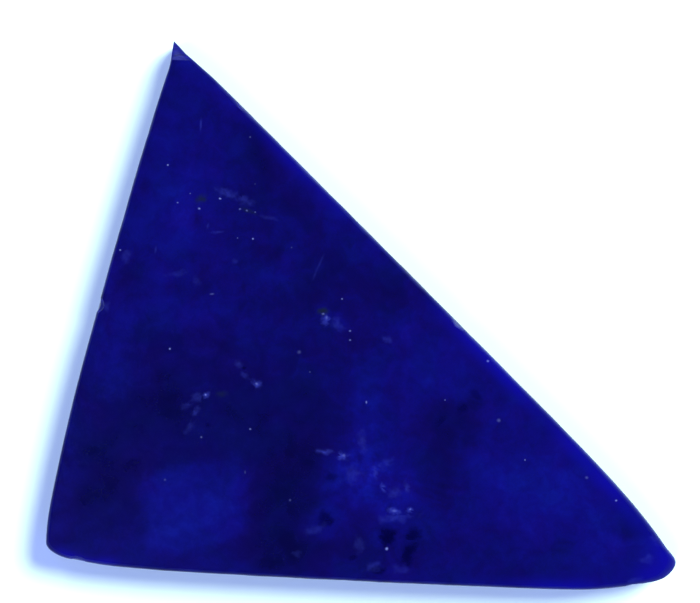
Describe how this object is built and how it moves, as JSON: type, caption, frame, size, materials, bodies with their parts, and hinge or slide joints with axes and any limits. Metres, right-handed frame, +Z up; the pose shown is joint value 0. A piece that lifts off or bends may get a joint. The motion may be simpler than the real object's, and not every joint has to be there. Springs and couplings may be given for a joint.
{
  "type": "lapis lazuli stone",
  "caption": "Thin triangular slab of polished lapis lazuli with bowed sides, rounded corners, one chipped sharp tip and a flat back to lie on.",
  "frame": {"origin": "on the plane that the flat back rests on, under the middle of the bounding box", "axes": "+Z up, out of the polished face; +X along the long bottom side, towards the pointed toe; +Y towards the chipped sharp tip"},
  "size_m": [0.04, 0.0348, 0.0032],
  "materials": {
    "polished_lapis": "polished deep ultramarine stone with pale calcite flecks and a few brassy grains"
  },
  "bodies": {
    "root": {"lapis_slab": "polished_lapis"}
  },
  "joints": []
}
